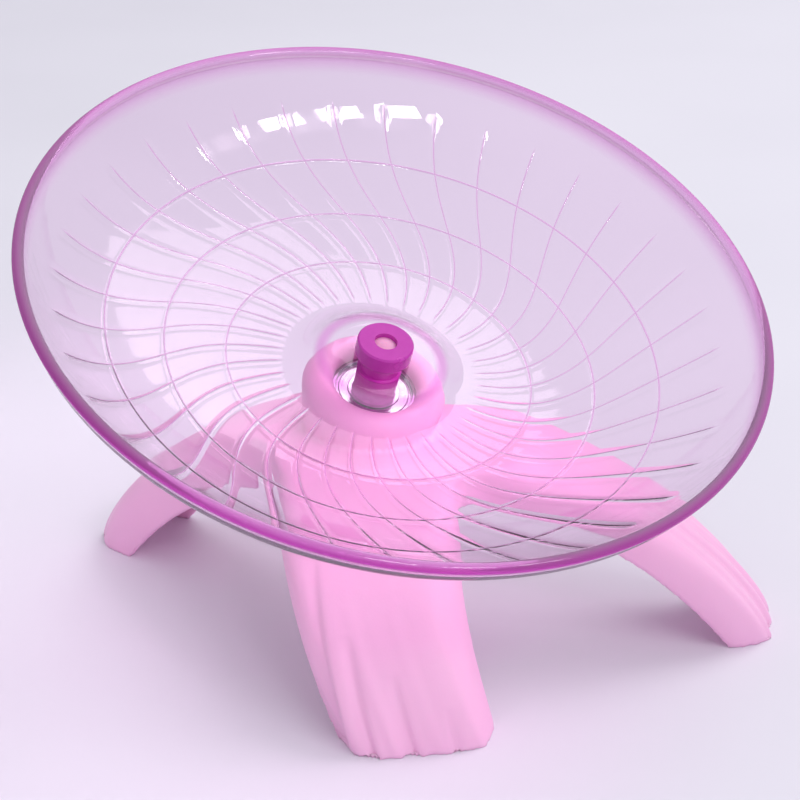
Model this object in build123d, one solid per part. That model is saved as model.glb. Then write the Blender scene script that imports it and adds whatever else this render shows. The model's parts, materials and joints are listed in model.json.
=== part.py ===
from build123d import *

import math
import os

os.makedirs("parts", exist_ok=True)

# Driving dimensions, in millimetres and degrees
saucer_diameter = 180.0
saucer_tilt = 23.0
bearing_height = 56.3
rim_above_bearing = 42.0
saucer_wall = 1.8
rib_count = 36
stand_wall = 2.4

# The origin is on the floor at the middle of the box round the whole object
box_centre_offset = 4.5
bearing_x = -rim_above_bearing * math.sin(math.radians(saucer_tilt)) + box_centre_offset
leg_root_x = bearing_x + 1.6

# Saucer, measured along the spindle from the bearing's centre
lip_radius = 1.4
lip_circle_radius = saucer_diameter / 2 - lip_radius
lip_height = rim_above_bearing - lip_radius
lip_search_step = 1e-9
floor_height = 11.4
floor_radius = 28.0
lower_curve_radius = 83.6
lower_curve_turn = 28.6
upper_curve_radius = 60.0
upper_curve_turn = 23.4
shoulder_radius = 5.0
dome_foot_radius = 22.2
dome_edge_radius = 15.2
dome_edge_height = 15.0
dome_foot_slope_radius = 20.4
hub_seat_radius = 7.6
hub_seat_height = 15.6
hub_hole_radius = 5.55
dome_foot_slope_rise = 0.6
dome_rounding = (1.0, 5.0, 4.0, 5.0)
dome_edge_narrowing = 0.4
dome_foot_narrowing = 0.2

# Raised lines on the saucer's upper face
rib_start_radius = 23.8
rib_end_radius = 81.0
rib_stations = 9
rib_foot_width = 0.8
rib_top_width = 0.35
rib_height = 0.3
rib_root = 0.3
rib_swirl = 14.6
rib_swirl_middle = 50.0
rib_swirl_spread = 19.0
rib_phase = 1.5
ring_radii = (37.8, 53.0, 67.6)
ring_width = 0.5
ring_height = 0.25
ring_root = 0.25

# Hub stem and its pin
cap_radius = 6.95
cap_top = 20.0
stem_radius = 5.5
neck_radius = 4.9
neck_top = 13.2
neck_bottom = 10.8
ridge_bottom = 10.2
shank_radius = 5.3
tail_radius = 3.98
pin_radius = 2.78
stem_bore_radius = 2.80
pin_top = 18.7
pin_dome = 0.7
pin_head_radius = 5.4
pin_head_thickness = 1.8
pin_head_chamfer = 0.8
cap_chamfer = 0.4
cap_relief = 0.5
stem_slip = 0.05
ridge_rounding = 0.3
ridge_step = 0.2
tail_chamfer = 0.2
end_gap = 0.1
overlap = 0.5
cut_past = 1.0

# Ball bearing of the common 8 by 22 by 7 size
bearing_bore_radius = 4.0
bearing_outer_radius = 11.0
bearing_half_width = 3.5
pitch_radius = 7.5
ball_radius = 1.98
groove_radius = 2.03
ball_count = 7
inner_land_radius = 6.1
outer_land_radius = 9.05
race_chamfer = 0.3
shield_seat_radius = 9.6
shield_seat_depth = 1.0
shield_thickness = 0.25
shield_hole_radius = 6.35
shield_dish_radius = 8.3
shield_dish_height = 0.3
shield_bend = 0.1
slip = 0.03
clip_thickness = 0.3
clip_groove_radius = 9.95
clip_hole_radius = 9.2
clip_gap_angle = 24.0
clip_cut_length = 6.0
clip_cut_height = 2.0
cage_inner_radius = 6.75
cage_outer_radius = 8.25
cage_thickness = 0.33
cage_pocket_radius = 2.05
rivet_radius = 0.3
rivet_slip = 0.01
rivet_head_radius = 0.5
rivet_head_height = 0.2

# Collar of the stand
collar_radius = 17.8
collar_widest_height = 3.2
collar_top_height = 7.4
collar_crest_radius = 13.6
collar_inner_bulge = 11.0
collar_outer_bulge = 16.4
collar_inner_drop = 0.9
collar_outer_drop = 1.7
collar_side_bow = 0.15
clearance_above = 5.0
collar_foot_height = -8.0
collar_foot_radius = 16.4
neck_top_height = -6.0
collar_opening_radius = 10.1
collar_lip_thickness = 0.8
pocket_radius = 11.02
pocket_floor_thickness = 2.5
pocket_hole_radius = 8.8
neck_foot_height = 38.0
neck_foot_inset = 1.5
neck_middle_height = 45.0
neck_middle_radius = 17.6
neck_middle_shift = 1.0
neck_hollow_drop = 0.2

# Legs: direction at the foot and at the root, length of the ridge on the floor, height where the
# ridge starts, reach and height of the arch below, how square the arch is, half widths
legs = {
    "back": dict(foot=-150.0, root=-150.0, reach=84.0, ridge=51.0, arch_reach=69.0,
                 arch_height=34.0, arch_power=2.5, foot_half=15.0, root_half=19.0),
    "front": dict(foot=-19.5, root=-36.0, reach=72.0, ridge=52.0, arch_reach=61.0,
                  arch_height=38.0, arch_power=3.0, foot_half=19.9, root_half=21.5),
    "side": dict(foot=54.0, root=50.0, reach=101.5, ridge=54.0, arch_reach=90.0,
                 arch_height=40.0, arch_power=3.0, foot_half=14.5, root_half=19.0),
}
ridge_power = 1.35
root_height = 50.0
full_width_height = 45.0
least_forward = 0.02
tip_wrap = 1.15
tip_share = 0.8
trunk_share = 0.9
end_inset_share = 0.8
arch_steps = 10
arch_start = -6.0
arch_spare_width = 8.5
below_floor = -5.0
dome_arch_steps = 8
finger_power = 6.0
skirt_power = 6.0
skirt_top_radius = 16.5
skirt_flare = 7.5
skirt_flare_top = 52.0
skirt_flare_height = 14.0
skirt_flare_power = 1.3
flute_places = (-0.34, -0.13, 0.10, 0.31)
flute_depth = 1.3
flute_spread = 0.045
flute_top = 34.0
section_heights = (0, 4, 9, 15, 20, 24.5, 29, 33, 37.5, 42, 45.5, 48.5)
hollow_heights = (-1, 4, 10, 17, 24, 31, 37, 41, 44)
shortest_leg = 1.0
tip_sector = 0.5
tip_steps = 20
side_steps = 6
dome_arch_height = 35.0
dome_arch_radius = 60.0
dome_arch_power = 2.5

spindle = Plane(
    origin=(bearing_x, 0, bearing_height),
    x_dir=(math.cos(math.radians(saucer_tilt)), 0, -math.sin(math.radians(saucer_tilt))),
    z_dir=(math.sin(math.radians(saucer_tilt)), 0, math.cos(math.radians(saucer_tilt))),
)
leg_root = Location((leg_root_x, 0, 0))
upright = Plane(origin=(0, 0, 0), x_dir=(1, 0, 0), z_dir=(0, -1, 0))


def turned(points):
    """Solid of revolution about the spindle, from (radius, height) corners."""
    outline = Polyline([(r, 0, h) for r, h in points], close=True)
    return revolve(make_face(outline), Axis.Z)


def ring(inner, outer, bottom, top):
    """Plain ring about the spindle."""
    return turned([(inner, bottom), (outer, bottom), (outer, top), (inner, top)])


def rod(radius, bottom, top):
    """Plain round rod on the spindle."""
    return Pos(0, 0, bottom) * Cylinder(radius, top - bottom, align=(Align.CENTER, Align.CENTER, Align.MIN))


def spaced(shape, count):
    """Copies of a shape turned evenly about the spindle."""
    return [Rot(0, 0, 360 * i / count) * shape for i in range(count)]


def saucer_line(drop):
    """Half outline of the saucer's wall surface, drop below its upper face, as edges."""
    dome = FilletPolyline(
        (hub_hole_radius, 0, hub_seat_height - drop),
        (hub_seat_radius, 0, hub_seat_height - drop),
        (dome_edge_radius - drop * dome_edge_narrowing, 0, dome_edge_height - drop),
        (dome_foot_slope_radius - drop * dome_edge_narrowing, 0, floor_height + dome_foot_slope_rise - drop),
        (dome_foot_radius - drop * dome_foot_narrowing, 0, floor_height - drop),
        (floor_radius, 0, floor_height - drop),
        radius=list(dome_rounding),
    )
    start = (floor_radius, floor_height - drop)
    lower = JernArc(start, (1, 0), lower_curve_radius + drop, lower_curve_turn)
    upper = JernArc(lower @ 1, lower % 1, upper_curve_radius + drop, upper_curve_turn)
    shoulder_turn = 90.0 - lower_curve_turn - upper_curve_turn
    shoulder = JernArc(upper @ 1, upper % 1, shoulder_radius + drop, shoulder_turn)
    return dome, [upright * arc for arc in (lower, upper, shoulder)]


def trimmed_at_lip(shoulder):
    """Shoulder arc cut off where it runs into the round lip."""
    lip_centre = Vector(lip_circle_radius, 0, lip_height)
    outside, inside = 0.0, 1.0
    while inside - outside > lip_search_step:
        middle = (outside + inside) / 2
        if (shoulder @ middle - lip_centre).length > lip_radius:
            outside = middle
        else:
            inside = middle
    return shoulder.trim(0.0, inside)


def make_saucer_shell():
    """Clear bowl with a raised dome round the hub and a thick rounded lip."""
    upper_dome, upper_arcs = saucer_line(0.0)
    lower_dome, lower_arcs = saucer_line(saucer_wall)
    upper_arcs[-1] = trimmed_at_lip(upper_arcs[-1])
    lower_arcs[-1] = trimmed_at_lip(lower_arcs[-1])
    lip = ThreePointArc(upper_arcs[-1] @ 1, (lip_circle_radius, 0, rim_above_bearing), lower_arcs[-1] @ 1)
    hub_end = Line(upper_dome @ 0, lower_dome @ 0)
    return revolve(make_face([upper_dome, *upper_arcs, lip, *lower_arcs, lower_dome, hub_end]), Axis.Z)


def raised_ring(radius):
    """Fine round ridge that lies on the saucer's upper face."""
    inner = radius - ring_width / 2
    outer = radius + ring_width / 2
    return turned([wall_point(inner, -ring_root), wall_point(outer, -ring_root),
                   wall_point(outer, ring_height), wall_point(inner, ring_height)])


def wall_point(radius, rise):
    """Radius and height of a point that stands rise above the saucer's upper face."""
    turn = math.radians(lower_curve_turn)
    joint_radius = floor_radius + lower_curve_radius * math.sin(turn)
    if radius <= floor_radius:
        return radius, floor_height + rise
    if radius <= joint_radius:
        centre = (floor_radius, floor_height + lower_curve_radius)
        curve = lower_curve_radius
    else:
        blend = lower_curve_radius - upper_curve_radius
        centre = (floor_radius + blend * math.sin(turn),
                  floor_height + lower_curve_radius - blend * math.cos(turn))
        curve = upper_curve_radius
    slope = math.asin((radius - centre[0]) / curve)
    reach = curve - rise
    return centre[0] + reach * math.sin(slope), centre[1] - reach * math.cos(slope)


def swirl_angle(radius):
    """Direction of a rib at a radius: the ribs sweep round in a gentle S."""
    return rib_phase + rib_swirl * math.tanh((radius - rib_swirl_middle) / rib_swirl_spread)


def rib_section(radius):
    """Cross-section of a rib where it passes a radius, rooted in the saucer's wall."""
    angle = math.radians(swirl_angle(radius))
    corners = []
    for side, rise in ((-1, -rib_root), (1, -rib_root), (1, rib_height), (-1, rib_height)):
        out, height = wall_point(radius, rise)
        offset = side * (rib_foot_width if rise < 0 else rib_top_width) / 2
        corners.append((out * math.cos(angle) - offset * math.sin(angle),
                        out * math.sin(angle) + offset * math.cos(angle), height))
    return make_face(Polyline(corners, close=True))


def make_rib():
    """One S-shaped rib."""
    step = (rib_end_radius - rib_start_radius) / (rib_stations - 1)
    return loft([rib_section(rib_start_radius + step * i) for i in range(rib_stations)])


def make_saucer():
    """Bowl with its swirl of ribs and three fine rings."""
    rings = [raised_ring(radius) for radius in ring_radii]
    return make_saucer_shell().fuse(*spaced(make_rib(), rib_count), *rings)


def make_hub_stem():
    """Cap and hollow stem that run through the dome into the bearing."""
    bottom = bearing_half_width
    return turned([
        (stem_bore_radius, cap_top),
        (cap_radius - cap_chamfer, cap_top),
        (cap_radius, cap_top - cap_chamfer),
        (cap_radius, hub_seat_height + cap_relief),
        (cap_radius - cap_relief, hub_seat_height),
        (stem_radius, hub_seat_height),
        (stem_radius, neck_top),
        (neck_radius, neck_bottom),
        (stem_radius - stem_slip, neck_bottom - ridge_rounding),
        (stem_radius - stem_slip, ridge_bottom),
        (shank_radius, ridge_bottom - ridge_step),
        (shank_radius, bottom),
        (tail_radius, bottom),
        (tail_radius, tail_chamfer + end_gap - bottom),
        (tail_radius - tail_chamfer, end_gap - bottom),
        (stem_bore_radius, end_gap - bottom),
    ])


def make_hub_pin():
    """Plug pin whose round end shows in the cap and whose head holds the inner race."""
    head_top = -bearing_half_width
    head_bottom = head_top - pin_head_thickness
    shank = rod(pin_radius, head_bottom + overlap, pin_top)
    dome_radius = (pin_radius ** 2 + pin_dome ** 2) / (2 * pin_dome)
    dome = Pos(0, 0, pin_top + pin_dome - dome_radius) * Sphere(dome_radius)
    dome = dome & rod(pin_radius, pin_top - overlap, pin_top + 2 * pin_dome)
    head = turned([
        (0, head_bottom), (pin_head_radius - pin_head_chamfer, head_bottom),
        (pin_head_radius, head_bottom + pin_head_chamfer), (pin_head_radius, head_top), (0, head_top),
    ])
    return head + shank + dome


def ball_groove():
    """Ring-shaped channel that the balls run in."""
    return Torus(pitch_radius, groove_radius)


def make_outer_race():
    """Outer race with its groove, and a shield seat and clip groove at each face."""
    w = bearing_half_width
    c = race_chamfer
    race = turned([
        (outer_land_radius, -w), (bearing_outer_radius - c, -w), (bearing_outer_radius, c - w),
        (bearing_outer_radius, w - c), (bearing_outer_radius - c, w), (outer_land_radius, w),
    ])
    race -= ball_groove()
    seat_floor = w - shield_seat_depth
    clip_bottom = seat_floor + shield_thickness
    for side in (0, 180):
        cut_inner = outer_land_radius - cut_past
        shield_seat = ring(cut_inner, shield_seat_radius, seat_floor, w + cut_past)
        clip_slot = ring(cut_inner, clip_groove_radius, clip_bottom, clip_bottom + clip_thickness)
        race -= Rot(side, 0, 0) * shield_seat
        race -= Rot(side, 0, 0) * clip_slot
    return race


def make_inner_race():
    """Inner race with its groove."""
    w = bearing_half_width
    c = race_chamfer
    race = turned([
        (bearing_bore_radius, c - w), (bearing_bore_radius + c, -w), (inner_land_radius, -w),
        (inner_land_radius, w), (bearing_bore_radius + c, w), (bearing_bore_radius, w - c),
    ])
    return race - ball_groove()


def make_ball(index):
    """One bearing ball in its place on the pitch circle."""
    return Rot(0, 0, 360 * index / ball_count) * Pos(pitch_radius, 0, 0) * Sphere(ball_radius)


def cage_rivet_places():
    """Angles halfway between the balls."""
    return [360 * (i + 0.5) / ball_count for i in range(ball_count)]


def make_cage_half(side):
    """Pressed ribbon half with a pocket over each ball; side 1 is the upper half, -1 the lower."""
    height = cage_pocket_radius + cage_thickness
    band = ring(cage_inner_radius, cage_outer_radius, 0, height)
    plate = ring(cage_inner_radius, cage_outer_radius, 0, cage_thickness)
    centre = Pos(pitch_radius, 0, 0)
    pocket_skins = spaced(centre * Sphere(height), ball_count)
    pocket_voids = spaced(centre * Sphere(cage_pocket_radius), ball_count)
    half = plate.fuse(*[band & skin for skin in pocket_skins]).cut(*pocket_voids)
    hole = Pos(pitch_radius, 0, 0) * rod(rivet_radius, -cut_past, cut_past)
    half = half.cut(*[Rot(0, 0, angle) * hole for angle in cage_rivet_places()])
    if side < 0:
        half = Rot(180, 0, 0) * half
    return half


def make_cage_rivets():
    """Seven rivets that join the two cage halves."""
    head_top = cage_thickness + rivet_head_height
    shank = rod(rivet_radius - rivet_slip, -head_top, head_top)
    upper_head = rod(rivet_head_radius, cage_thickness, head_top)
    lower_head = rod(rivet_head_radius, -head_top, -cage_thickness)
    rivet = Pos(pitch_radius, 0, 0) * (shank + upper_head + lower_head)
    return Compound(children=[Rot(0, 0, angle) * rivet for angle in cage_rivet_places()])


def make_shield(side):
    """Thin dished disc that closes one face of the bearing."""
    bottom = bearing_half_width - shield_seat_depth
    top = bottom + shield_thickness
    raised = shield_dish_height
    rim = shield_seat_radius - slip
    shield = turned([
        (shield_hole_radius, bottom + raised), (shield_dish_radius, bottom + raised),
        (shield_dish_radius + raised, bottom), (rim, bottom), (rim, top),
        (shield_dish_radius + raised + shield_bend, top), (shield_dish_radius + shield_bend, top + raised),
        (shield_hole_radius, top + raised),
    ])
    if side < 0:
        shield = Rot(180, 0, 0) * shield
    return shield


def make_clip(side):
    """Open spring clip that keeps a shield in its seat."""
    bottom = bearing_half_width - shield_seat_depth + shield_thickness
    clip = ring(clip_hole_radius, clip_groove_radius - slip, bottom + slip, bottom + clip_thickness - slip)
    gap = 2 * clip_groove_radius * math.sin(math.radians(clip_gap_angle / 2))
    clip -= Pos(-clip_groove_radius, 0, bottom) * Box(clip_cut_length, gap, clip_cut_height)
    if side < 0:
        clip = Rot(180, 0, 0) * clip
    return clip


def leg_direction(leg, height):
    """Direction of a leg in plan, in radians, at a height."""
    return math.radians(leg["foot"] + (leg["root"] - leg["foot"]) * height / root_height)


def leg_length(leg, height):
    """Distance from the root to the leg's ridge at a height."""
    return leg["reach"] * math.sqrt(max(0.0, 1 - (max(height, 0) / leg["ridge"]) ** ridge_power))


def leg_half_width(leg, height):
    """Half width of a leg at a height."""
    share = min(1.0, max(height, 0) / full_width_height)
    return leg["foot_half"] + (leg["root_half"] - leg["foot_half"]) * share


def finger(turn, length, half_width):
    """Radius of a blunt finger shape, turn radians away from its direction."""
    along = max(math.cos(turn), least_forward) / length
    across = abs(math.sin(turn)) / half_width
    return (along ** finger_power + across ** finger_power) ** (-1 / finger_power)


def skirt_radius(height):
    """Radius of the trunk, which flares towards the legs."""
    share = min(1.0, max(0.0, (skirt_flare_top - height) / skirt_flare_height))
    return skirt_top_radius + skirt_flare * share ** skirt_flare_power


def wrapped(angle):
    """Angle brought to the range from minus half a turn to half a turn."""
    return (angle + math.pi) % (2 * math.pi) - math.pi


def stand_radius(direction, height, inset, end_inset):
    """Radius of the stand's surface in one direction at a height, smaller by inset all round."""
    total = (skirt_radius(height) - inset) ** skirt_power
    for leg in legs.values():
        length = leg_length(leg, height) - end_inset
        turn = wrapped(direction - leg_direction(leg, height))
        if length > shortest_leg and abs(turn) < math.pi / 2:
            total += finger(turn, length, leg_half_width(leg, height) - inset) ** skirt_power
    return total ** (1 / skirt_power)


def sector_shares():
    """Places across one leg's sector, from -1 to 1, closer together over the leg's end."""
    side_share = 1 - tip_sector
    before = [-1 + side_share * i / side_steps for i in range(side_steps)]
    middle = [-tip_sector + 2 * tip_sector * i / tip_steps for i in range(tip_steps)]
    after = [tip_sector + side_share * i / side_steps for i in range(side_steps)]
    return before + middle + after


def stand_outline(height, inset=0.0, rise=0.0, flutes=True):
    """Points of the stand's outline at a height; the hollow's outline is inset and taken higher up."""
    level = height + rise
    end_inset = inset * end_inset_share
    ordered = sorted(legs.values(), key=lambda leg: leg["foot"])
    directions = [leg_direction(leg, level) for leg in ordered]
    points = []
    for i, leg in enumerate(ordered):
        here = directions[i]
        ahead = wrapped(directions[(i + 1) % 3] - here) % (2 * math.pi) / 2
        behind = wrapped(here - directions[i - 1]) % (2 * math.pi) / 2
        length = max(leg_length(leg, level), skirt_radius(level) * trunk_share)
        tip = math.atan2(leg_half_width(leg, level), length) * tip_wrap
        tip = min(tip, tip_share * min(ahead, behind))
        for share in sector_shares():
            limit = ahead if share > 0 else behind
            turn = tip * share / tip_sector
            if abs(share) > tip_sector:
                beyond = (abs(share) - tip_sector) / (1 - tip_sector)
                turn = math.copysign(tip + (limit - tip) * beyond, share)
            radius = stand_radius(here + turn, level, inset, end_inset)
            if flutes:
                groove = sum(math.exp(-((share - place) / flute_spread) ** 2) for place in flute_places)
                radius -= flute_depth * max(0.0, 1 - height / flute_top) * groove
            points.append((radius * math.cos(here + turn), radius * math.sin(here + turn), height))
    return points


def stand_loft(outlines):
    """Solid through closed outlines at rising heights."""
    sections = [make_face(Spline(points, periodic=True)) for points in outlines]
    return loft(sections)


def arch_cutter(leg):
    """Space below one leg's arch, as wide as the leg and its flare."""
    reach = leg["arch_reach"]
    curve = []
    for i in range(arch_steps + 1):
        s = reach * i / arch_steps
        curve.append((s, leg["arch_height"] * (1 - (s / reach) ** leg["arch_power"])))
    below = Polyline([curve[-1], (reach, below_floor), (arch_start, below_floor),
                      (arch_start, curve[0][1]), curve[0]])
    profile = upright * make_face([Spline(curve), below])
    half = leg["root_half"] + arch_spare_width
    return Rot(0, 0, leg["foot"]) * extrude(profile, amount=half, both=True)


def middle_cutter():
    """Domed space below the trunk."""
    curve = []
    for i in range(dome_arch_steps + 1):
        share = i / dome_arch_steps
        curve.append((dome_arch_radius * share, 0, dome_arch_height * (1 - share ** dome_arch_power)))
    below = Polyline([curve[-1], (dome_arch_radius, 0, below_floor), (0, 0, below_floor), curve[0]])
    return revolve(make_face([Spline(curve), below]), Axis.Z)


def make_neck(inset=0.0):
    """Leaning trunk between the legs and the collar, or the hollow in it when inset."""
    lean = math.radians(saucer_tilt / 2)
    foot_circle = Circle(skirt_radius(neck_foot_height) - neck_foot_inset - inset)
    middle_plane = Plane(
        origin=((leg_root_x + bearing_x) / 2 - neck_middle_shift, 0, neck_middle_height),
        z_dir=(math.sin(lean), 0, math.cos(lean)),
        x_dir=(math.cos(lean), 0, -math.sin(lean)),
    )
    top_height = neck_top_height - inset * neck_hollow_drop
    foot = Pos(leg_root_x, 0, neck_foot_height) * foot_circle
    middle = middle_plane * Circle(neck_middle_radius - inset)
    top = spindle * (Pos(0, 0, top_height) * Circle(collar_foot_radius - inset))
    return loft([foot, middle, top])


def make_collar():
    """Round-shouldered ring that holds the bearing."""
    lip_top = bearing_half_width + collar_lip_thickness
    inner = ThreePointArc(
        (collar_opening_radius, lip_top),
        (collar_inner_bulge, collar_top_height - collar_inner_drop),
        (collar_crest_radius, collar_top_height),
    )
    outer = ThreePointArc(
        (collar_crest_radius, collar_top_height),
        (collar_outer_bulge, collar_top_height - collar_outer_drop),
        (collar_radius, collar_widest_height),
    )
    side = ThreePointArc(
        (collar_radius, collar_widest_height),
        (collar_radius - collar_side_bow, 0.0),
        (collar_foot_radius, collar_foot_height),
    )
    rest = Polyline([
        (collar_foot_radius, collar_foot_height), (0, collar_foot_height), (0, lip_top),
        (collar_opening_radius, lip_top),
    ])
    profile = upright * make_face([inner, outer, side, rest])
    return revolve(profile, Axis.Z)


def make_stand():
    """Hollow root-shaped stand: trunk, leaning collar and three arched legs."""
    body = leg_root * stand_loft([stand_outline(h) for h in section_heights])
    body += make_neck()
    body += spindle * make_collar()
    hollow = stand_loft([
        stand_outline(h, inset=stand_wall, rise=stand_wall, flutes=False) for h in hollow_heights
    ])
    body -= leg_root * hollow
    for leg in legs.values():
        body -= leg_root * arch_cutter(leg)
    body -= leg_root * middle_cutter()
    w = bearing_half_width
    floor_bottom = -w - pocket_floor_thickness
    space_top = collar_top_height + clearance_above
    bearing_space = rod(pocket_radius, -w, w) + rod(collar_opening_radius, 0, space_top)
    bearing_space += rod(pocket_hole_radius, floor_bottom - cut_past, 0)
    body -= make_neck(stand_wall)
    return body - spindle * bearing_space


def save(name, shape):
    """Write one sub-part and print its box."""
    export_step(shape, f"parts/{name}.step")
    box = shape.bounding_box()
    print(name, "x", round(box.min.X, 2), round(box.max.X, 2), "y", round(box.min.Y, 2), round(box.max.Y, 2),
          "z", round(box.min.Z, 2), round(box.max.Z, 2), "volume", round(shape.volume, 1))


spindle_pieces = {
    "saucer_bowl": make_saucer(),
    "hub_stem": make_hub_stem(),
    "hub_pin": make_hub_pin(),
    "bearing_outer_race": make_outer_race(),
    "bearing_inner_race": make_inner_race(),
    "cage_upper_half": make_cage_half(1),
    "cage_lower_half": make_cage_half(-1),
    "cage_rivets": make_cage_rivets(),
    "shield_upper": make_shield(1),
    "shield_lower": make_shield(-1),
    "shield_clip_upper": make_clip(1),
    "shield_clip_lower": make_clip(-1),
}
for index in range(ball_count):
    spindle_pieces[f"bearing_ball_{index + 1}"] = make_ball(index)

for name, shape in spindle_pieces.items():
    save(name, spindle.location * shape)
save("root_stand", make_stand())
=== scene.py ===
import json
import math

import bpy
import numpy as np
from mathutils import Matrix, Vector


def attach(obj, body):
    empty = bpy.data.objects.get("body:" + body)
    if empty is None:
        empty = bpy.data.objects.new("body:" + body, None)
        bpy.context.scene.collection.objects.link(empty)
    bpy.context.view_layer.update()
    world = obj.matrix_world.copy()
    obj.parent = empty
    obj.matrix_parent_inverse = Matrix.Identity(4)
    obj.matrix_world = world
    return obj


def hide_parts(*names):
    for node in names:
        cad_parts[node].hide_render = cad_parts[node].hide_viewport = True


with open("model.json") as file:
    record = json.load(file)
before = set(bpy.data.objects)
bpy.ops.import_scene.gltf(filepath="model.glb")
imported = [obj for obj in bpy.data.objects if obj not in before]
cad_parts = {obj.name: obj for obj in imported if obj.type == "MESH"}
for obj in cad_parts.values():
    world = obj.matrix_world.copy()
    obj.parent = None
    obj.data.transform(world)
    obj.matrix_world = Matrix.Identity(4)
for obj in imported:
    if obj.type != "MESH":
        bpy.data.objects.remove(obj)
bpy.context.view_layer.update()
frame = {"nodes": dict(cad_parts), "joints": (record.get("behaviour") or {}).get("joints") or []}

millimetre = 0.001

# Camera, in metres: it looks down at the low side of the saucer
camera_place = (0.3874, -0.2141, 0.2579)
camera_right = (0.4863, 0.8737, 0.0)
camera_up = (-0.3551, 0.1978, 0.9135)
camera_back = (0.7984, -0.4442, 0.4067)
camera_lens = 90.0
camera_sensor = 36.0

# Saucer, in millimetres, measured along the spindle from the bearing's centre
saucer_spin = next(joint for joint in frame["joints"] if joint["name"] == "saucer_spin")
spindle_origin = Vector(saucer_spin["pos_m"])
spindle_axis = Vector(saucer_spin["axis"]).normalized()
spindle_side = Vector((0, 1, 0)).cross(spindle_axis).normalized()
saucer_wall = 1.8
lip_radius = 1.4
lip_circle_radius = 88.6
lip_height = 40.6
floor_height = 11.4
floor_radius = 28.0
lower_curve_radius = 83.6
lower_curve_turn = math.radians(28.6)
upper_curve_radius = 60.0
upper_curve_turn = math.radians(23.4)
shoulder_radius = 5.0
hub_hole_radius = 5.55
dome_corners = ((7.6, 15.6), (15.2, 15.0), (20.4, 12.0), (22.2, 11.4))
dome_rounding = 2.6
dome_samples = 15
dome_margin = 3
slope_step = 0.1
dome_radii = (6.2, 23.0, 0.5)
bowl_radii = (23.4, 86.0, 0.7)
shoulder_points = 9
lip_points = 30
lip_clear_share = 1.02

# Raised lines on the saucer
rib_count = 36
rib_start_radius = 23.8
rib_end_radius = 81.0
rib_half_width = 0.22
rib_height = 0.09
rib_tint = 0.5
rib_swirl = 14.6
rib_swirl_middle = 50.0
rib_swirl_spread = 19.0
rib_phase = 1.5
rib_fade = 1.6
rib_lead = 6
widest_rib_share = 0.15
ridge_roundness = 0.8
across_shares = (-1.1, -0.8, -0.4, 0.0, 0.4, 0.8, 1.1)
between_shares = (0.2, 0.4, 0.6, 0.8)
ring_radii = (37.8, 53.0, 67.6)
ring_half_width = 0.24
ring_height = 0.12
ring_tint = 0.5
ring_clearing = 1.5

# Depth of the saucer's colour
shoulder_tint = 0.3
shoulder_reach = 4.0
lip_edge_share = 1.01
lip_fade = 0.85
lip_fade_rate = 1.6
lip_inner_tint = 0.35
dome_edge_reach = 1.8
dome_edge_tint = 0.35

# Legs: direction at the foot and root in degrees, reach, half width, ridge height, whether the stand's
# own flutes are filled, and grooves as (place across at the foot, at the top, depth, height of the top)
legs = (
    dict(foot=-150.0, root=-150.0, reach=84.0, half=15.0, ridge=51.0, plain=False,
         grooves=((-0.55, -0.48, 0.9, 38.0), (-0.15, -0.13, 1.0, 40.0), (0.2, 0.17, 0.8, 36.0),
                  (0.55, 0.48, 0.9, 38.0))),
    dict(foot=-19.5, root=-36.0, reach=72.0, half=19.9, ridge=52.0, plain=True,
         grooves=((-0.88, -0.57, 1.6, 38.0), (-0.57, -0.36, 1.4, 24.0), (-0.10, 0.02, 1.2, 17.0),
                  (0.37, 0.48, 0.7, 10.0))),
    dict(foot=54.0, root=50.0, reach=101.5, half=14.5, ridge=54.0, plain=False,
         grooves=((-0.55, -0.45, 0.9, 40.0), (-0.1, -0.08, 1.1, 44.0), (0.3, 0.25, 0.9, 40.0),
                  (0.6, 0.5, 0.8, 36.0))),
)
root_height = 50.0
root_shift = 1.6

# Even flutes of the CAD stand, as they have to be filled on a plain leg
ridge_power = 1.35
flute_places = (-0.34, -0.13, 0.10, 0.31)
flute_depth = 1.3
flute_spread = 0.045
flute_top = 34.0
flute_wrap = 1.15

# Grooves pressed into the legs, and the stand's new skin
groove_start = 14.0
groove_steep_side = 0.9
groove_wide_side = 2.4
groove_fade_share = 0.7
groove_fade_power = 0.7
stand_voxel = 0.7
softness = 0.5
soft_rounds = 5
facing_gain = 2.0
foot_flat = 0.35

# Materials
noise_span = (0.3, 0.7)
clear_plastic_ior = 1.5
mark_darkening = 0.72
mark_roughening = 2.2

# Lamps, floor and room, in metres
key_place = (-0.25, 0.85, 1.15)
key_target = (0.0, 0.0, 0.06)
key_side = 0.8
key_power = 7.0
window_target = (-0.0696, 0.018, 0.1116)
window_reach = 0.95
window_elevation = math.radians(36.5)
pane_directions = (-9.0, 7.0, 23.0)
pane_width = 0.15
pane_height = 0.085
pane_power = 0.7
floor_half = 3.0
room_colour = (0.82, 0.80, 0.86)
room_strength = 0.80


def new_material(name):
    """Empty node material with one Principled shader."""
    material = bpy.data.materials.new(name)
    material.use_nodes = True
    nodes = material.node_tree.nodes
    return material, nodes, material.node_tree.links, nodes["Principled BSDF"]


def object_noise(nodes, links, scale, detail=4.0):
    """Noise that is fixed to the piece, at a scale in features per metre."""
    place = nodes.new("ShaderNodeTexCoord")
    noise = nodes.new("ShaderNodeTexNoise")
    noise.inputs["Scale"].default_value = scale
    noise.inputs["Detail"].default_value = detail
    links.new(place.outputs["Object"], noise.inputs["Vector"])
    return noise.outputs["Fac"]


def add_bump(nodes, links, shader, height, strength, distance):
    """Bump on a shader from a height socket."""
    bump = nodes.new("ShaderNodeBump")
    bump.inputs["Strength"].default_value = strength
    bump.inputs["Distance"].default_value = distance
    links.new(height, bump.inputs["Height"])
    links.new(bump.outputs["Normal"], shader.inputs["Normal"])


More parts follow.
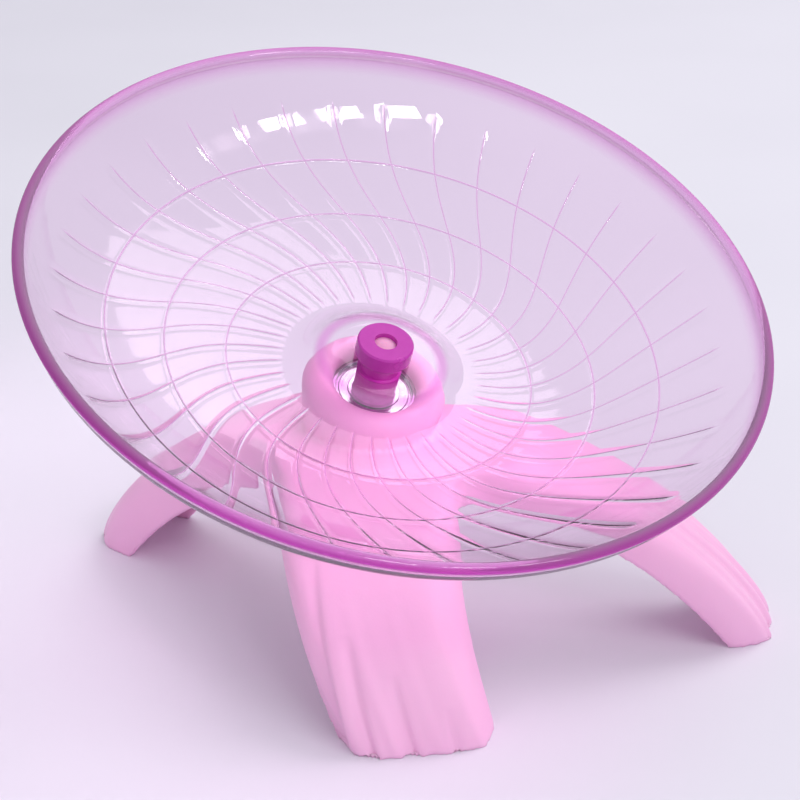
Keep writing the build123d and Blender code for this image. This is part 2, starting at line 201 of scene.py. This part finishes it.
def vary_roughness(nodes, links, shader, noise, low, high):
    """Roughness that wanders between two values with a noise socket."""
    span = nodes.new("ShaderNodeMapRange")
    span.inputs["From Min"].default_value = noise_span[0]
    span.inputs["From Max"].default_value = noise_span[1]
    span.inputs["To Min"].default_value = low
    span.inputs["To Max"].default_value = high
    links.new(noise, span.inputs["Value"])
    links.new(span.outputs["Result"], shader.inputs["Roughness"])


def vary_colour(nodes, links, shader, factor, stops):
    """Base colour from a ramp of (place, colour) stops."""
    ramp = nodes.new("ShaderNodeValToRGB")
    elements = ramp.color_ramp.elements
    while len(elements) < len(stops):
        elements.new(0.5)
    for element, (place, colour) in zip(elements, stops):
        element.position = place
        element.color = (*colour, 1.0)
    links.new(factor, ramp.inputs["Fac"])
    links.new(ramp.outputs["Color"], shader.inputs["Base Color"])


def spindle_distance(nodes, links):
    """Distance of the shaded point from the spindle, in metres."""
    place = nodes.new("ShaderNodeTexCoord")
    shift = nodes.new("ShaderNodeVectorMath")
    shift.operation = "SUBTRACT"
    shift.inputs[1].default_value = spindle_origin
    across = nodes.new("ShaderNodeVectorMath")
    across.operation = "CROSS_PRODUCT"
    across.inputs[1].default_value = spindle_axis
    length = nodes.new("ShaderNodeVectorMath")
    length.operation = "LENGTH"
    links.new(place.outputs["Object"], shift.inputs[0])
    links.new(shift.outputs["Vector"], across.inputs[0])
    links.new(across.outputs["Vector"], length.inputs[0])
    return length.outputs["Value"]


def clear_shadow(material, nodes, links, shader, tint):
    """Let lamps shine through a clear piece, tinted, as real clear plastic does."""
    output = nodes["Material Output"]
    path = nodes.new("ShaderNodeLightPath")
    through = nodes.new("ShaderNodeBsdfTransparent")
    through.inputs["Color"].default_value = (*tint, 1.0)
    mix = nodes.new("ShaderNodeMixShader")
    links.new(path.outputs["Is Shadow Ray"], mix.inputs["Fac"])
    links.new(shader.outputs["BSDF"], mix.inputs[1])
    links.new(through.outputs["BSDF"], mix.inputs[2])
    links.new(mix.outputs["Shader"], output.inputs["Surface"])


def saucer_plastic():
    """Clear lilac plastic that deepens to magenta in the thick lip and at the dome's steps."""
    material, nodes, links, shader = new_material("saucer_clear_lilac")
    shader.inputs["IOR"].default_value = clear_plastic_ior
    edge = nodes.new("ShaderNodeAttribute")
    edge.attribute_name = "depth_of_colour"
    vary_colour(nodes, links, shader, edge.outputs["Fac"], (
        (0.0, (0.95, 0.81, 0.94)),
        (0.35, (0.88, 0.48, 0.84)),
        (1.0, (0.56, 0.02, 0.44)),
    ))
    clearness = nodes.new("ShaderNodeMapRange")
    clearness.inputs["To Min"].default_value = 1.0
    clearness.inputs["To Max"].default_value = 0.35
    links.new(edge.outputs["Fac"], clearness.inputs["Value"])
    links.new(clearness.outputs["Result"], shader.inputs["Transmission Weight"])
    vary_roughness(nodes, links, shader, object_noise(nodes, links, 60.0), 0.015, 0.06)
    clear_shadow(material, nodes, links, shader, (0.96, 0.82, 0.93))
    return material


def hub_plastic():
    """Translucent magenta plastic of the cap and stem."""
    material, nodes, links, shader = new_material("hub_clear_magenta")
    shader.inputs["Transmission Weight"].default_value = 0.15
    shader.inputs["IOR"].default_value = clear_plastic_ior
    noise = object_noise(nodes, links, 140.0)
    vary_colour(nodes, links, shader, noise, (
        (0.25, (0.58, 0.025, 0.45)),
        (0.75, (0.68, 0.050, 0.54)),
    ))
    vary_roughness(nodes, links, shader, noise, 0.2, 0.3)
    return material


def pin_plastic():
    """Pale pink plug, satin and slightly soft in the light."""
    material, nodes, links, shader = new_material("pin_pale_pink")
    shader.inputs["Subsurface Weight"].default_value = 0.2
    shader.inputs["Subsurface Scale"].default_value = 0.002
    noise = object_noise(nodes, links, 300.0)
    vary_colour(nodes, links, shader, noise, ((0.3, (0.84, 0.36, 0.60)), (0.7, (0.90, 0.44, 0.68))))
    vary_roughness(nodes, links, shader, noise, 0.25, 0.4)
    return material


def stand_plastic():
    """Opaque pale pink moulding with a soft sheen and a very fine grain."""
    material, nodes, links, shader = new_material("stand_pale_pink")
    shader.inputs["Subsurface Weight"].default_value = 0.12
    shader.inputs["Subsurface Scale"].default_value = 0.003
    shader.inputs["Subsurface Radius"].default_value = (1.0, 0.5, 0.8)
    broad = object_noise(nodes, links, 25.0, 2.0)
    fine = object_noise(nodes, links, 1800.0)
    vary_colour(nodes, links, shader, broad, ((0.3, (0.90, 0.47, 0.73)), (0.7, (0.93, 0.51, 0.76))))
    vary_roughness(nodes, links, shader, broad, 0.40, 0.52)
    add_bump(nodes, links, shader, fine, 0.12, 0.00015)
    return material


def turned_steel(name, colour, roughness, turns_per_metre):
    """Bright steel with fine turning marks round the spindle."""
    material, nodes, links, shader = new_material(name)
    shader.inputs["Metallic"].default_value = 1.0
    noise = nodes.new("ShaderNodeTexNoise")
    noise.noise_dimensions = "1D"
    noise.inputs["Scale"].default_value = turns_per_metre
    noise.inputs["Detail"].default_value = 3.0
    links.new(spindle_distance(nodes, links), noise.inputs["W"])
    darker = tuple(value * mark_darkening for value in colour)
    vary_colour(nodes, links, shader, noise.outputs["Fac"], ((0.35, darker), (0.65, colour)))
    vary_roughness(nodes, links, shader, noise.outputs["Fac"], roughness, roughness * mark_roughening)
    add_bump(nodes, links, shader, noise.outputs["Fac"], 0.15, 0.0001)
    return material


def ball_steel():
    """Polished ball with faint running marks."""
    material, nodes, links, shader = new_material("ball_polished_steel")
    shader.inputs["Metallic"].default_value = 1.0
    noise = object_noise(nodes, links, 900.0)
    vary_colour(nodes, links, shader, noise, ((0.3, (0.72, 0.72, 0.75)), (0.7, (0.82, 0.82, 0.84))))
    vary_roughness(nodes, links, shader, noise, 0.05, 0.12)
    return material


def shade_smooth(mesh):
    """Smooth shading on every face."""
    mesh.polygons.foreach_set("use_smooth", [True] * len(mesh.polygons))


def bump_shape(distance, half_width):
    """Rounded ridge: 1 on its middle line and 0 beyond its half width."""
    share = min(1.0, abs(distance) / half_width)
    return math.cos(share * math.pi / 2) ** ridge_roundness if share < 1.0 else 0.0


def swirl_angle(radius):
    """Direction of a rib at a radius, in degrees."""
    return rib_phase + rib_swirl * math.tanh((radius - rib_swirl_middle) / rib_swirl_spread)


def upper_line():
    """Upper face of the saucer from the hub hole to the lip, as (radius, height, outward, up)."""
    radii = [hub_hole_radius, *np.arange(*dome_radii), *np.arange(*bowl_radii)]
    for ring in ring_radii:
        radii = [r for r in radii if abs(r - ring) > ring_half_width * ring_clearing]
        radii += [ring + ring_half_width * share for share in across_shares]
    return [(r, *surface_at(r)) for r in sorted(radii)]


def dome_height(radius):
    """Height of the dome's upper face, with its corners rounded by averaging nearby places."""
    first = (hub_hole_radius - dome_margin, dome_corners[0][1])
    corners = (first, *dome_corners, (floor_radius + dome_margin, floor_height))
    across = [corner[0] for corner in corners]
    heights = [corner[1] for corner in corners]
    nearby = np.linspace(radius - dome_rounding, radius + dome_rounding, dome_samples)
    return float(np.mean(np.interp(nearby, across, heights)))


def surface_at(radius):
    """Height of the upper face at a radius, and its normal as outward and up parts."""
    if radius <= floor_radius:
        height = dome_height(radius)
        climb = dome_height(radius + slope_step) - dome_height(radius - slope_step)
        slope = math.atan2(climb, 2 * slope_step)
        return height, -math.sin(slope), math.cos(slope)
    joint = floor_radius + lower_curve_radius * math.sin(lower_curve_turn)
    if radius <= joint:
        centre = (floor_radius, floor_height + lower_curve_radius)
        curve = lower_curve_radius
    else:
        blend = lower_curve_radius - upper_curve_radius
        centre = (floor_radius + blend * math.sin(lower_curve_turn),
                  floor_height + lower_curve_radius - blend * math.cos(lower_curve_turn))
        curve = upper_curve_radius
    slope = math.asin((radius - centre[0]) / curve)
    return centre[1] - curve * math.cos(slope), -math.sin(slope), math.cos(slope)


def shoulder_line(drop):
    """Last curve of the wall below the lip, as (radius, height) points."""
    joint = floor_radius + lower_curve_radius * math.sin(lower_curve_turn)
    turn = lower_curve_turn + upper_curve_turn
    start_radius = joint + upper_curve_radius * (math.sin(turn) - math.sin(lower_curve_turn))
    start_height = surface_at(start_radius)[0]
    centre = (start_radius - shoulder_radius * math.sin(turn),
              start_height + shoulder_radius * math.cos(turn))
    reach = shoulder_radius + drop
    points = []
    for angle in np.linspace(turn, math.pi / 2, shoulder_points):
        point = (centre[0] + reach * math.sin(angle), centre[1] - reach * math.cos(angle))
        if math.dist(point, (lip_circle_radius, lip_height)) > lip_radius * lip_clear_share:
            points.append(point)
    return points


def lip_line(start, end):
    """Round lip from the inner wall over the top to the outer wall."""
    first = math.atan2(start[1] - lip_height, start[0] - lip_circle_radius)
    last = math.atan2(end[1] - lip_height, end[0] - lip_circle_radius)
    first = first % (2 * math.pi)
    last = last % (2 * math.pi) - 2 * math.pi
    return [(lip_circle_radius + lip_radius * math.cos(angle), lip_height + lip_radius * math.sin(angle))
            for angle in np.linspace(first, last, lip_points)[1:-1]]


def depth_of_colour(radius, height):
    """How deep the plastic's colour looks: full at the lip's outer side, less beside it and on the dome."""
    from_lip = math.dist((radius, height), (lip_circle_radius, lip_height))
    if from_lip < lip_radius * lip_edge_share:
        below = (lip_height - height) / lip_radius
        outer = 0.5 + 0.5 * (radius - lip_circle_radius) / lip_radius
        fade = 1.0 - lip_fade * min(1.0, max(0.0, below * lip_fade_rate))
        return fade * (lip_inner_tint + (1 - lip_inner_tint) * outer)
    if from_lip < lip_radius + shoulder_reach:
        return shoulder_tint * (1 - (from_lip - lip_radius) / shoulder_reach)
    return bump_shape(radius - dome_corners[1][0], dome_edge_reach) * dome_edge_tint


def saucer_rows():
    """Closed outline as rows: radius, height, share and lift of ridges, normal, depth of colour."""
    rows = []
    for radius, height, outward, up in upper_line():
        fade = max(0.0, min(1.0, (radius - rib_start_radius) / rib_fade,
                            (rib_end_radius - radius) / rib_fade))
        lift = max(bump_shape(radius - ring, ring_half_width) for ring in ring_radii) * ring_height
        rows.append((radius, height, fade, lift, outward, up, depth_of_colour(radius, height)))
    inner = shoulder_line(0.0)
    outer = shoulder_line(saucer_wall)
    for radius, height in inner + lip_line(inner[-1], outer[-1]) + outer[::-1]:
        rows.append((radius, height, 0.0, 0.0, 0.0, 1.0, depth_of_colour(radius, height)))
    for radius, height, outward, up in reversed(upper_line()):
        if any(abs(radius - ring) < ring_half_width for ring in ring_radii):
            continue
        low_radius = max(hub_hole_radius, radius - saucer_wall * outward)
        rows.append((low_radius, height - saucer_wall * up, 0.0, 0.0, 0.0, 1.0,
                     depth_of_colour(radius, height)))
    return rows


def column_offsets():
    """Columns across one rib pitch: (share of the pitch, offset from the rib's middle in mm)."""
    across = [(0.0, rib_half_width * share) for share in across_shares]
    return across + [(share, 0.0) for share in between_shares]


def saucer_points(rows, columns):
    """Places in millimetres and depths of colour, row by row and then column by column."""
    places = np.zeros((len(rows), len(columns), 3))
    colours = np.zeros((len(rows), len(columns)))
    pitch = 360.0 / rib_count
    half_width = rib_half_width * across_shares[-1]
    for i, (radius, height, fade, lift, outward, up, depth) in enumerate(rows):
        swirl = swirl_angle(max(radius, rib_start_radius - rib_lead))
        reach = min(half_width / radius, math.radians(pitch) * widest_rib_share)
        for j, (rib, share, offset) in enumerate(columns):
            turn = math.radians(pitch * (rib + share) + swirl)
            if share == 0.0:
                turn += offset / half_width * reach
                raised = bump_shape(offset, rib_half_width) * rib_height * fade
            else:
                raised = 0.0
            rise = max(raised, lift)
            tint = max(raised / rib_height * rib_tint, lift / ring_height * ring_tint)
            out = radius + outward * rise
            places[i, j] = (out * math.cos(turn), out * math.sin(turn), height + up * rise)
            colours[i, j] = max(depth, tint)
    return places.reshape(-1, 3), colours.reshape(-1)


def from_spindle(points):
    """Places in the scene, in metres, of points in millimetres across, level and along the spindle."""
    across = np.array(spindle_side)
    level = np.array((0.0, 1.0, 0.0))
    axis = np.array(spindle_axis)
    flat = points * millimetre
    return np.array(spindle_origin) + flat[:, :1] * across + flat[:, 1:2] * level + flat[:, 2:] * axis


def ring_faces(rows, count):
    """Faces of a grid of rows and columns that closes on itself both ways."""
    faces = []
    for i in range(rows):
        after = (i + 1) % rows
        for j in range(count):
            beside = (j + 1) % count
            faces.append((i * count + j, after * count + j, after * count + beside, i * count + beside))
    return faces


def make_saucer():
    """Watertight saucer whose columns follow the swirl ribs."""
    rows = saucer_rows()
    columns = [(rib, share, offset) for rib in range(rib_count) for share, offset in column_offsets()]
    points, colours = saucer_points(rows, columns)
    mesh = bpy.data.meshes.new("saucer_shell")
    mesh.from_pydata(from_spindle(points).tolist(), [], ring_faces(len(rows), len(columns)))
    mesh.validate()
    shade_smooth(mesh)
    attribute = mesh.attributes.new("depth_of_colour", "FLOAT", "POINT")
    attribute.data.foreach_set("value", colours.tolist())
    piece = bpy.data.objects.new("saucer_shell", mesh)
    bpy.context.scene.collection.objects.link(piece)
    piece.data.materials.append(saucer_plastic())
    return piece


def leg_direction(leg, height):
    """Direction of a leg's middle at a height, in radians."""
    return np.radians(leg["foot"] + (leg["root"] - leg["foot"]) * height / root_height)


def groove_depth(places, leg):
    """Depth of one leg's grooves at places given in millimetres from the legs' root."""
    direction = leg_direction(leg, np.clip(places[:, 2], 0, None))
    along = places[:, 0] * np.cos(direction) + places[:, 1] * np.sin(direction)
    across = places[:, 1] * np.cos(direction) - places[:, 0] * np.sin(direction)
    depth = np.zeros(len(places))
    for foot_share, top_share, strength, top in leg["grooves"]:
        middle = leg["half"] * (foot_share + (top_share - foot_share) * places[:, 2] / top)
        fade = np.clip((top - places[:, 2]) / (top * groove_fade_share), 0, 1)
        offset = across - middle
        width = np.where(offset * foot_share > 0, groove_wide_side, groove_steep_side)
        depth += strength * fade ** groove_fade_power * np.exp(-(offset / width) ** 2)
    return np.where(along > groove_start, depth, 0.0)


def flute_depths(places, leg):
    """Depth of the CAD stand's even flutes on one leg."""
    height = np.clip(places[:, 2], 0, flute_top)
    turn = np.arctan2(places[:, 1], places[:, 0]) - leg_direction(leg, height)
    length = leg["reach"] * np.sqrt(1 - (height / leg["ridge"]) ** ridge_power)
    share = turn / (2 * flute_wrap * np.arctan2(leg["half"], length))
    shape = sum(np.exp(-((share - place) / flute_spread) ** 2) for place in flute_places)
    return flute_depth * (1 - height / flute_top) * shape


def softened_stand():
    """Copy of the CAD stand with an even skin and softened edges."""
    piece = frame["nodes"]["root_stand"].copy()
    piece.data = frame["nodes"]["root_stand"].data.copy()
    for key in list(piece.keys()):
        del piece[key]
    piece.name = "root_stand_moulding"
    piece.parent = None
    bpy.context.scene.collection.objects.link(piece)
    remesh = piece.modifiers.new("even_skin", "REMESH")
    remesh.mode = "VOXEL"
    remesh.voxel_size = stand_voxel * millimetre
    smooth = piece.modifiers.new("soft_edges", "SMOOTH")
    smooth.factor = softness
    smooth.iterations = soft_rounds
    mesh = bpy.data.meshes.new_from_object(piece.evaluated_get(bpy.context.evaluated_depsgraph_get()))
    piece.modifiers.clear()
    piece.data = mesh
    return piece


def press_grooves(mesh):
    """Fill the even flutes of plain legs, press in the grooves and keep the feet flat."""
    count = len(mesh.vertices)
    places = np.empty(count * 3)
    normals = np.empty(count * 3)
    mesh.vertices.foreach_get("co", places)
    mesh.vertices.foreach_get("normal", normals)
    places = places.reshape(-1, 3)
    normals = normals.reshape(-1, 3)
    root = np.array((spindle_origin.x + root_shift * millimetre, 0.0, 0.0))
    local = (places - root) / millimetre
    distance = np.hypot(local[:, 0], local[:, 1])
    outward = (local[:, 0] * normals[:, 0] + local[:, 1] * normals[:, 1]) / distance
    facing = np.clip(np.maximum(outward, normals[:, 2]) * facing_gain, 0, 1)
    filled = sum(flute_depths(local, leg) for leg in legs if leg["plain"])
    filled *= np.clip(outward * facing_gain, 0, 1)
    places[:, :2] += local[:, :2] / distance[:, None] * (filled * millimetre)[:, None]
    depth = sum(groove_depth(local, leg) for leg in legs) * facing
    places -= normals * (depth * millimetre)[:, None]
    places[:, 2] = np.where(places[:, 2] < foot_flat * millimetre, 0.0, places[:, 2])
    mesh.vertices.foreach_set("co", places.reshape(-1))


def make_stand():
    """Stand with softened edges and crisp lengthwise grooves on its legs."""
    piece = softened_stand()
    mesh = piece.data
    press_grooves(mesh)
    shade_smooth(mesh)
    mesh.materials.clear()
    mesh.materials.append(stand_plastic())
    mesh.update()
    return piece


def dress(node, material, crease=35.0):
    """Give a CAD node a material and smooth shading that keeps its sharp edges."""
    piece = frame["nodes"][node]
    piece.data.materials.clear()
    piece.data.materials.append(material)
    shade_smooth(piece.data)
    piece.data.set_sharp_from_angle(angle=math.radians(crease))


def dress_nodes():
    """Materials of the pieces whose CAD shape is shown."""
    chrome = turned_steel("bearing_ground_steel", (0.80, 0.80, 0.83), 0.08, 2600.0)
    shield = turned_steel("shield_bright_steel", (0.74, 0.74, 0.78), 0.12, 3400.0)
    pressed = turned_steel("cage_pressed_steel", (0.58, 0.58, 0.60), 0.2, 1500.0)
    polished = ball_steel()
    dress("hub_stem", hub_plastic())
    dress("hub_pin", pin_plastic())
    for node in ("bearing_outer_race", "bearing_inner_race"):
        dress(node, chrome)
    for node in ("shield_upper", "shield_lower"):
        dress(node, shield)
    for node in ("shield_clip_upper", "shield_clip_lower", "cage_upper_half", "cage_lower_half",
                 "cage_rivets"):
        dress(node, pressed)
    for node in frame["nodes"]:
        if node.startswith("bearing_ball_"):
            dress(node, polished)


def make_camera():
    """Camera at the photograph's place and angle."""
    camera = bpy.data.cameras.new("camera")
    camera.lens = camera_lens
    camera.sensor_width = camera_sensor
    camera.sensor_fit = "HORIZONTAL"
    eye = bpy.data.objects.new("camera", camera)
    columns = (camera_right, camera_up, camera_back, camera_place)
    eye.matrix_world = Matrix([[column[i] for column in columns] for i in range(3)] + [[0, 0, 0, 1]])
    bpy.context.scene.collection.objects.link(eye)
    bpy.context.scene.camera = eye


def area_light(name, place, target, size, height, power, colour):
    """Soft rectangular lamp that faces a target."""
    lamp = bpy.data.lights.new(name, "AREA")
    lamp.shape = "RECTANGLE"
    lamp.size = size
    lamp.size_y = height
    lamp.energy = power
    lamp.color = colour
    holder = bpy.data.objects.new(name, lamp)
    holder.location = place
    holder.rotation_euler = (Vector(target) - Vector(place)).to_track_quat("-Z", "Y").to_euler()
    bpy.context.scene.collection.objects.link(holder)
    return holder


def make_lights():
    """Big soft lamp behind on the right, and a window of three panes that mirrors in the far wall."""
    key = area_light("key", key_place, key_target, key_side, key_side, key_power, (1.0, 0.99, 0.98))
    key.visible_glossy = False
    target = Vector(window_target)
    for pane, direction in enumerate(pane_directions):
        turn = math.radians(direction)
        towards = Vector((math.cos(turn) * math.cos(window_elevation),
                          math.sin(turn) * math.cos(window_elevation), math.sin(window_elevation)))
        area_light(f"window_pane_{pane + 1}", target + towards * window_reach, target,
                   pane_width, pane_height, pane_power, (1.0, 1.0, 1.0))


def make_floor():
    """Wide pale floor."""
    mesh = bpy.data.meshes.new("floor")
    corners = [(x * floor_half, y * floor_half, 0) for x, y in ((-1, -1), (1, -1), (1, 1), (-1, 1))]
    mesh.from_pydata(corners, [], [(0, 1, 2, 3)])
    floor = bpy.data.objects.new("floor", mesh)
    material, nodes, links, shader = new_material("floor_pale")
    shader.inputs["Specular IOR Level"].default_value = 0.2
    noise = object_noise(nodes, links, 6.0, 2.0)
    vary_colour(nodes, links, shader, noise, ((0.3, (0.76, 0.755, 0.82)), (0.7, (0.79, 0.785, 0.85))))
    shader.inputs["Roughness"].default_value = 0.6
    mesh.materials.append(material)
    bpy.context.scene.collection.objects.link(floor)


def make_world():
    """Even pale light from all round."""
    world = bpy.data.worlds.new("pale_room")
    world.use_nodes = True
    background = world.node_tree.nodes["Background"]
    background.inputs["Color"].default_value = (*room_colour, 1.0)
    background.inputs["Strength"].default_value = room_strength
    bpy.context.scene.world = world


bpy.context.scene.view_settings.view_transform = "Standard"
make_camera()
make_world()
make_lights()
make_floor()
dress_nodes()
saucer = make_saucer()
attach(saucer, "saucer")
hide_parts("saucer_bowl")
stand = make_stand()
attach(stand, "stand")
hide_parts("root_stand")
